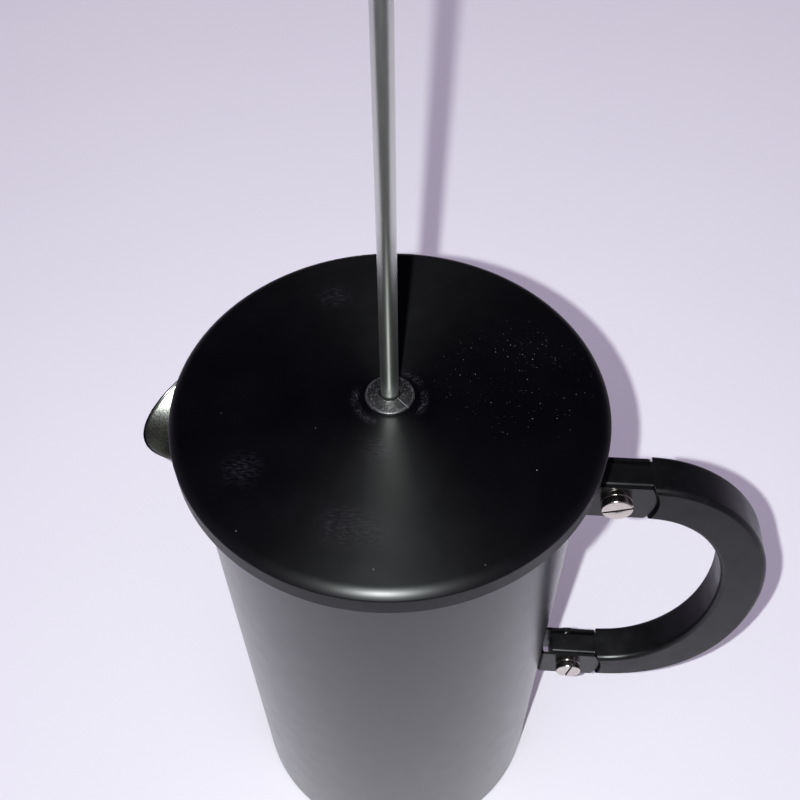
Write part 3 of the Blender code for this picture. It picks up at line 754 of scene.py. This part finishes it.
def make_seal_and_bush(materials):
    seal, bush = Place("lid_seal"), Place("guide_bush")
    inner, outer, low, high = SEAL_INSIDE, seal.radius, seal.bottom, seal.top
    third = (outer - inner) / 3
    outline = filleted([(inner, high, 0.3 * MM), (outer - third, high, 0.3 * MM),
                        (outer, high - 0.45 * MM, 0.2 * MM), (outer, low + 0.3 * MM, 0.2 * MM),
                        (outer - third, low, 0.3 * MM), (inner + third, low + 0.35 * MM, 0.2 * MM),
                        (inner, low, 0.25 * MM)], segments=4)
    shown(lathe("seal_ring", outline), "seal", ["lid_seal"], materials["rubber"])

    outline = filleted([(BUSH_BORE, bush.top, 0.28 * MM), (bush.radius, bush.top - BUSH_CONE, 0.32 * MM),
                        (bush.radius, BUSH_SEAT, 0.25 * MM), (BUSH_NECK, BUSH_SEAT, 0.15 * MM),
                        (BUSH_NECK, bush.bottom, 0.3 * MM), (BUSH_BORE, bush.bottom, 0.3 * MM)])
    shown(lathe("rod_guide", outline, SMALL_ROUND), "bush", ["guide_bush"], materials["bush"])
    piece = hex_nut("bush_locknut", Place("bush_nut"), 4.3 * MM, 1.5 * MM)
    shown(piece, "bush", ["bush_nut"], materials["liner"])


def hex_nut(name, place, bore, chamfer):
    """A hexagon with its corners turned down to a cone at both ends, and a bore."""
    corner = place.high.x
    nut = cylinder(name, corner, place.bottom, place.top, 6)
    flat = corner - chamfer * 0.7
    outline = [(0.0, place.top), (flat, place.top), (corner + 0.1 * MM, place.top - chamfer * 0.4),
               (corner + 0.1 * MM, place.bottom + chamfer * 0.4), (flat, place.bottom), (0.0, place.bottom)]
    combined(nut, "INTERSECT", lathe("turning", outline, SMALL_ROUND, closed=False))
    bored = lathe("bore", filleted([(0.0, place.top + MM, 0), (bore + MM, place.top + MM, 0),
                                    (bore + 0.3 * MM, place.top, 0), (bore, place.top - 0.3 * MM, 0),
                                    (bore, place.bottom - MM, 0), (0.0, place.bottom - MM, 0)], closed=False),
                  64, closed=False)
    combined(nut, "DIFFERENCE", bored)
    return softened(nut, 0.08 * MM, 2, 40.0)


# ---------------------------------------------------------------- plunger

FIT = 0.3 * MM                 # gap between pieces that touch
THREAD_PITCH, THREAD_DEPTH = 0.7 * MM, 0.35 * MM
BALL_SWEEP = 148.0             # degrees of the knob's ball, from its top to its neck
NECK_RADIUS, NECK_HEIGHT = 7.2 * MM, 2.6 * MM
KNOB_CROWN = 8.0 * MM          # plastic above the knob's bore

PLUNGER_BORE = 2.45 * MM       # of the pieces that sit on the rod
PLATE_WALL, PLATE_RISE = 0.7 * MM, 3.0 * MM
DRAIN_HOLES, DRAIN_RADIUS, DRAIN_RING = 10, 5.0 * MM, 28.1 * MM


def make_rod_and_knob(materials):
    rod, knob, insert = Place("plunger_rod"), Place("knob"), Place("knob_insert")
    radius, chamfer = rod.radius, 0.4 * MM
    thread_top = Place("cross_plate").bottom - FIT
    outline = [(0.0, rod.top), (radius - chamfer, rod.top), (radius, rod.top - chamfer), (radius, thread_top)]
    z = thread_top - THREAD_PITCH / 2
    while z > rod.bottom + THREAD_PITCH:
        outline += [(radius - THREAD_DEPTH, z), (radius, z - THREAD_PITCH / 2)]
        z -= THREAD_PITCH
    outline += [(radius - 0.6 * MM, rod.bottom), (0.0, rod.bottom)]
    piece = lathe("rod", outline, SMALL_ROUND, closed=False)
    shown(piece, "plunger", ["plunger_rod"], materials["rod"])

    low, high, ball = knob.bottom, knob.top, knob.radius
    neck_top, bore_top, bore = low + NECK_HEIGHT, high - KNOB_CROWN, insert.radius + FIT
    outline = [(0.0, high)]
    for i in range(1, 49):                  # the ball, from its top to where the neck begins
        angle = math.radians(90.0 - BALL_SWEEP * i / 48)
        outline.append((ball * math.cos(angle), high - ball + ball * math.sin(angle)))
    last = Vector(outline[-1])
    for i in range(1, 9):                   # a hollow curve into the neck
        share = i / 8
        blend = share * share * (3 - 2 * share)
        outline.append((last.x + (NECK_RADIUS - last.x) * blend, last.y + (neck_top - last.y) * share))
    outline += filleted([(NECK_RADIUS, neck_top, 0), (NECK_RADIUS, low, 0.5 * MM), (bore, low, 0.2 * MM),
                         (bore, bore_top, 0.5 * MM), (0.0, bore_top, 0)], closed=False)[1:]
    piece = lathe("knob_ball", outline, 160, closed=False)
    shown(piece, "plunger", ["knob"], materials["knob"])

    inside, outside, edge = radius + FIT, insert.radius, 0.2 * MM
    outline = filleted([(inside, insert.top, edge), (outside, insert.top, edge),
                        (outside, insert.bottom, edge), (inside, insert.bottom, edge)])
    piece = lathe("knob_sleeve", outline, SMALL_ROUND)
    shown(piece, "plunger", ["knob_insert"], materials["brass"])


def make_filter(materials):
    collar, plate = Place("rod_collar"), Place("spiral_plate")
    mesh, cross, spring = Place("filter_mesh"), Place("cross_plate"), Place("edge_spring")
    bore = PLUNGER_BORE
    outline = filleted([(bore, collar.top, 0.1 * MM), (collar.radius, collar.top, 0.5 * MM),
                        (collar.radius, collar.bottom, 0.15 * MM), (bore, collar.bottom, 0.1 * MM)])
    piece = lathe("rod_stop", outline, SMALL_ROUND)
    shown(piece, "plunger", ["rod_collar"], materials["filter"])

    wall, outer, rim_top = PLATE_WALL, plate.radius, plate.top - PLATE_RISE
    full = outer + 3.4 * MM
    high, low = full * 0.35, full * 0.6     # where the slope from the raised middle starts and ends
    under = 0.1 * MM
    upper = [(bore, plate.top, 0.05 * MM), (high, plate.top, 2.5 * MM), (low, rim_top, 2.5 * MM),
             (outer, rim_top, 1.0 * MM), (outer, plate.bottom, 0.2 * MM)]
    lower = [(outer - wall, plate.bottom, 0.2 * MM), (outer - wall, rim_top - wall, 0.4 * MM),
             (low - under, rim_top - wall, 2.5 * MM), (high - under, plate.top - wall, 2.5 * MM),
             (bore, plate.top - wall, 0.05 * MM)]
    piece = lathe("upper_plate", filleted(upper + lower))
    shown(piece, "plunger", ["spiral_plate"], materials["filter"])
    shown(coil_spring(spring), "plunger", ["edge_spring"], materials["filter"])

    low, rim = mesh.bottom, mesh.radius
    outline = filleted([(bore, low + 0.4 * MM, 0), (rim - 2.0 * MM, low + 0.4 * MM, 1.2 * MM),
                        (rim - 0.6 * MM, low + 1.8 * MM, 0.15 * MM), (rim, low + 1.8 * MM, 0.15 * MM),
                        (rim - 1.7 * MM, low, 1.0 * MM), (bore, low, 0)], segments=4)
    shown(lathe("wire_cloth", outline), "plunger", ["filter_mesh"], materials["mesh"])

    outline = filleted([(bore, cross.top, 0.1 * MM), (cross.radius, cross.top, 0.3 * MM),
                        (cross.radius, cross.bottom, 0.3 * MM), (bore, cross.bottom, 0.1 * MM)])
    piece = lathe("lower_plate", outline)
    holes = []
    for i in range(DRAIN_HOLES):
        turn = Matrix.Rotation(2 * math.pi * i / DRAIN_HOLES, 4, "Z")
        hole = cylinder(f"hole_{i}", DRAIN_RADIUS, cross.bottom - MM, cross.top + MM, 48)
        holes.append(moved(hole, turn, Matrix.Translation((DRAIN_RING, 0.0, 0.0))))
    combined(piece, "DIFFERENCE", *holes)
    shown(piece, "plunger", ["cross_plate"], materials["filter"])
    piece = hex_nut("end_nut", Place("filter_nut"), bore, 1.1 * MM)
    shown(piece, "plunger", ["filter_nut"], materials["filter"])


def coil_spring(spring):
    """A wire wound in small turns round the filter's edge."""
    wire, turns, steps = 0.32 * MM, 150, 14
    coil = (spring.top - spring.bottom) / 2 - wire
    ring = spring.radius - wire - coil
    curve = bpy.data.curves.new("edge_coil", "CURVE")
    curve.dimensions = "3D"
    curve.bevel_depth = wire
    curve.bevel_resolution = 1
    spline = curve.splines.new("POLY")
    spline.points.add(turns * steps - 1)
    for i, point in enumerate(spline.points):
        around = 2 * math.pi * i / (turns * steps)
        twist = 2 * math.pi * i / steps
        reach = ring + coil * math.cos(twist)
        point.co = (reach * math.cos(around), reach * math.sin(around),
                    spring.centre.z + coil * math.sin(twist), 1.0)
    spline.use_cyclic_u = True
    piece = bpy.data.objects.new("edge_coil", curve)
    bpy.context.scene.collection.objects.link(piece)
    bpy.context.view_layer.update()
    mesh = bpy.data.meshes.new_from_object(piece.evaluated_get(bpy.context.evaluated_depsgraph_get()))
    bpy.data.objects.remove(piece, do_unlink=True)
    piece = bpy.data.objects.new("edge_coil", mesh)
    bpy.context.scene.collection.objects.link(piece)
    return piece


# ---------------------------------------------------------------- stage

CAMERA_PLACE = Vector((13.23, -151.26, 373.33)) * MM
CAMERA_TURN = (39.1612, 0.3287, 3.6577)      # degrees
CAMERA_LENS = 43.93                          # mm on a 36 mm wide sensor
LAMP_BESIDE_LENS = 14.0 * MM
LAMP_AIM = (0.0, 0.0, 0.1)
FLOOR_HALF = 3.0
WORLD_DARK_TOWARDS = (0.0, 0.60, 0.80)
WORLD_BRIGHT, WORLD_DARK = 0.22, 0.004       # strengths away from and towards that direction


def make_camera():
    data = bpy.data.cameras.new("camera")
    data.lens = CAMERA_LENS
    data.sensor_width = 36.0
    data.clip_start = 0.01
    camera = bpy.data.objects.new("camera", data)
    camera.location = CAMERA_PLACE
    camera.rotation_euler = [math.radians(a) for a in CAMERA_TURN]
    bpy.context.scene.collection.objects.link(camera)
    bpy.context.scene.camera = camera
    return camera


def lamp(name, place, aim, size, power, colour):
    """A round light at a place, turned towards a point."""
    data = bpy.data.lights.new(name, "AREA")
    data.shape = "DISK"
    data.size = size
    data.energy = power
    data.color = colour
    item = bpy.data.objects.new(name, data)
    item.location = place
    item.rotation_euler = (Vector(aim) - Vector(place)).to_track_quat("-Z", "Y").to_euler()
    item.visible_camera = False
    bpy.context.scene.collection.objects.link(item)
    return item


def make_floor():
    """A plain, flat, pale sheet."""
    paint = Paint("pale_floor", (0.80, 0.79, 0.80), 0.9)
    tone = paint.mixed(paint.noise(7.0, 4.0), (0.78, 0.77, 0.79), (0.81, 0.80, 0.81))
    paint.feed("Base Color", tone)
    shape = bmesh.new()
    bmesh.ops.create_grid(shape, x_segments=2, y_segments=2, size=FLOOR_HALF)
    floor = new_piece("floor", shape)
    floor.data.materials.append(paint.material)


def make_shade_card():
    """A dark card lying in front, seen only in reflections: painted shade standing for the dark space in front
    of the press.
    """
    paint = Paint("shade_card_paint", (0.03, 0.028, 0.03), 0.9)
    paint.feed("Base Color", paint.mixed(paint.noise(9.0, 3.0), (0.025, 0.024, 0.025), (0.04, 0.038, 0.04)))
    shade_card = block("shade_card", (-0.6, -0.9, 0.001), (0.6, -0.195, 0.002))
    shade_card.data.materials.append(paint.material)
    shade_card.visible_camera = shade_card.visible_diffuse = shade_card.visible_shadow = False


def make_world():
    """Even pale surroundings, dark high up behind the press, where the lid mirrors them."""
    world = bpy.data.worlds.new("world")
    bpy.context.scene.world = world
    world.use_nodes = True
    nodes, links = world.node_tree.nodes, world.node_tree.links
    background = nodes["Background"]
    background.inputs["Color"].default_value = (0.86, 0.76, 1.0, 1.0)
    place = nodes.new("ShaderNodeTexCoord")
    facing = nodes.new("ShaderNodeVectorMath")
    facing.operation = "DOT_PRODUCT"
    facing.inputs[1].default_value = WORLD_DARK_TOWARDS
    shade = nodes.new("ShaderNodeMapRange")
    shade.interpolation_type = "SMOOTHSTEP"
    shade.inputs["From Min"].default_value = 0.25
    shade.inputs["From Max"].default_value = 0.85
    shade.inputs["To Min"].default_value = WORLD_BRIGHT
    shade.inputs["To Max"].default_value = WORLD_DARK
    links.new(place.outputs["Generated"], facing.inputs[0])
    links.new(facing.outputs["Value"], shade.inputs["Value"])
    links.new(shade.outputs["Result"], background.inputs["Strength"])


def steady(light):
    """Let a lamp reach near and far things alike."""
    light.data.use_nodes = True
    nodes = light.data.node_tree.nodes
    falloff = nodes.new("ShaderNodeLightFalloff")
    falloff.inputs["Strength"].default_value = 1.0
    light.data.node_tree.links.new(falloff.outputs["Constant"], nodes["Emission"].inputs["Strength"])


def make_lights(camera):
    """A small lamp beside the lens with a stronger glint, and a wide soft fill from above."""
    bpy.context.view_layer.update()
    beside = camera.matrix_world.to_3x3() @ Vector((-1.0, 0.0, 0.0))
    place = camera.location + beside * LAMP_BESIDE_LENS
    steady(lamp("key", place, LAMP_AIM, 3.5 * MM, 7.6, (0.94, 0.98, 1.0)))
    glint = lamp("glint", place, LAMP_AIM, 6.0 * MM, 29.0, (0.95, 1.0, 0.98))
    glint.visible_diffuse = False
    steady(glint)
    data = bpy.data.lights.new("fill", "SUN")
    data.energy = 1.35
    data.angle = math.radians(160.0)
    data.color = (0.86, 0.75, 1.0)
    fill = bpy.data.objects.new("fill", data)
    fill.visible_glossy = False
    bpy.context.scene.collection.objects.link(fill)


# ---------------------------------------------------------------- build

def build():
    materials = {
        "shell": black_paint("shell_paint", (0.004, 0.004, 0.005), 0.24, 0.0004, 0.003, 0.66),
        "lid": lid_paint(Place("lid_dome").top),
        "bracket": black_paint("bracket_paint", (0.004, 0.004, 0.005), 0.33, 0.004, 0.01, 0.45),
        "handle": moulded_plastic("handle_plastic", (0.002, 0.002, 0.003), 0.36, level=0.24),
        "bush": bush_plastic(Place("guide_bush")),
        "knob": moulded_plastic("knob_plastic", (0.012, 0.012, 0.014), 0.3, 900.0, 0.004, 0.03),
        "vessel": steel("vessel_steel", (0.64, 0.645, 0.60), 0.29, EVEN, 3000.0, 0.022, 0.2),
        "liner": steel("liner_steel", (0.60, 0.60, 0.59), 0.3, EVEN, 1400.0, 0.005),
        "rod": steel("rod_steel", (0.68, 0.70, 0.65), 0.29, (1.0, 1.0, 0.2), 900.0, 0.00003, 0.015, 0.012),
        "filter": steel("filter_steel", (0.60, 0.60, 0.60), 0.28, EVEN, 1200.0, 0.004),
        "chrome": screw_steel(),
        "brass": steel("insert_brass", (0.72, 0.55, 0.28), 0.25, (1.0, 1.0, 0.1), 1500.0, 0.004),
        "mesh": woven_steel(),
        "rubber": rubber(),
    }
    materials = {name: paint.material for name, paint in materials.items()}
    make_pot(materials)
    make_handle(materials)
    for side in ("upper", "lower"):
        make_bracket(side, materials)
        make_fixings(side, materials)
    make_lid_cover(materials)
    make_liner(materials)
    make_seal_and_bush(materials)
    make_rod_and_knob(materials)
    make_filter(materials)


build()
bpy.context.scene.view_settings.view_transform = "Standard"
make_floor()
# painted shade: a dark card that only reflections see
make_shade_card()
make_world()
make_lights(make_camera())
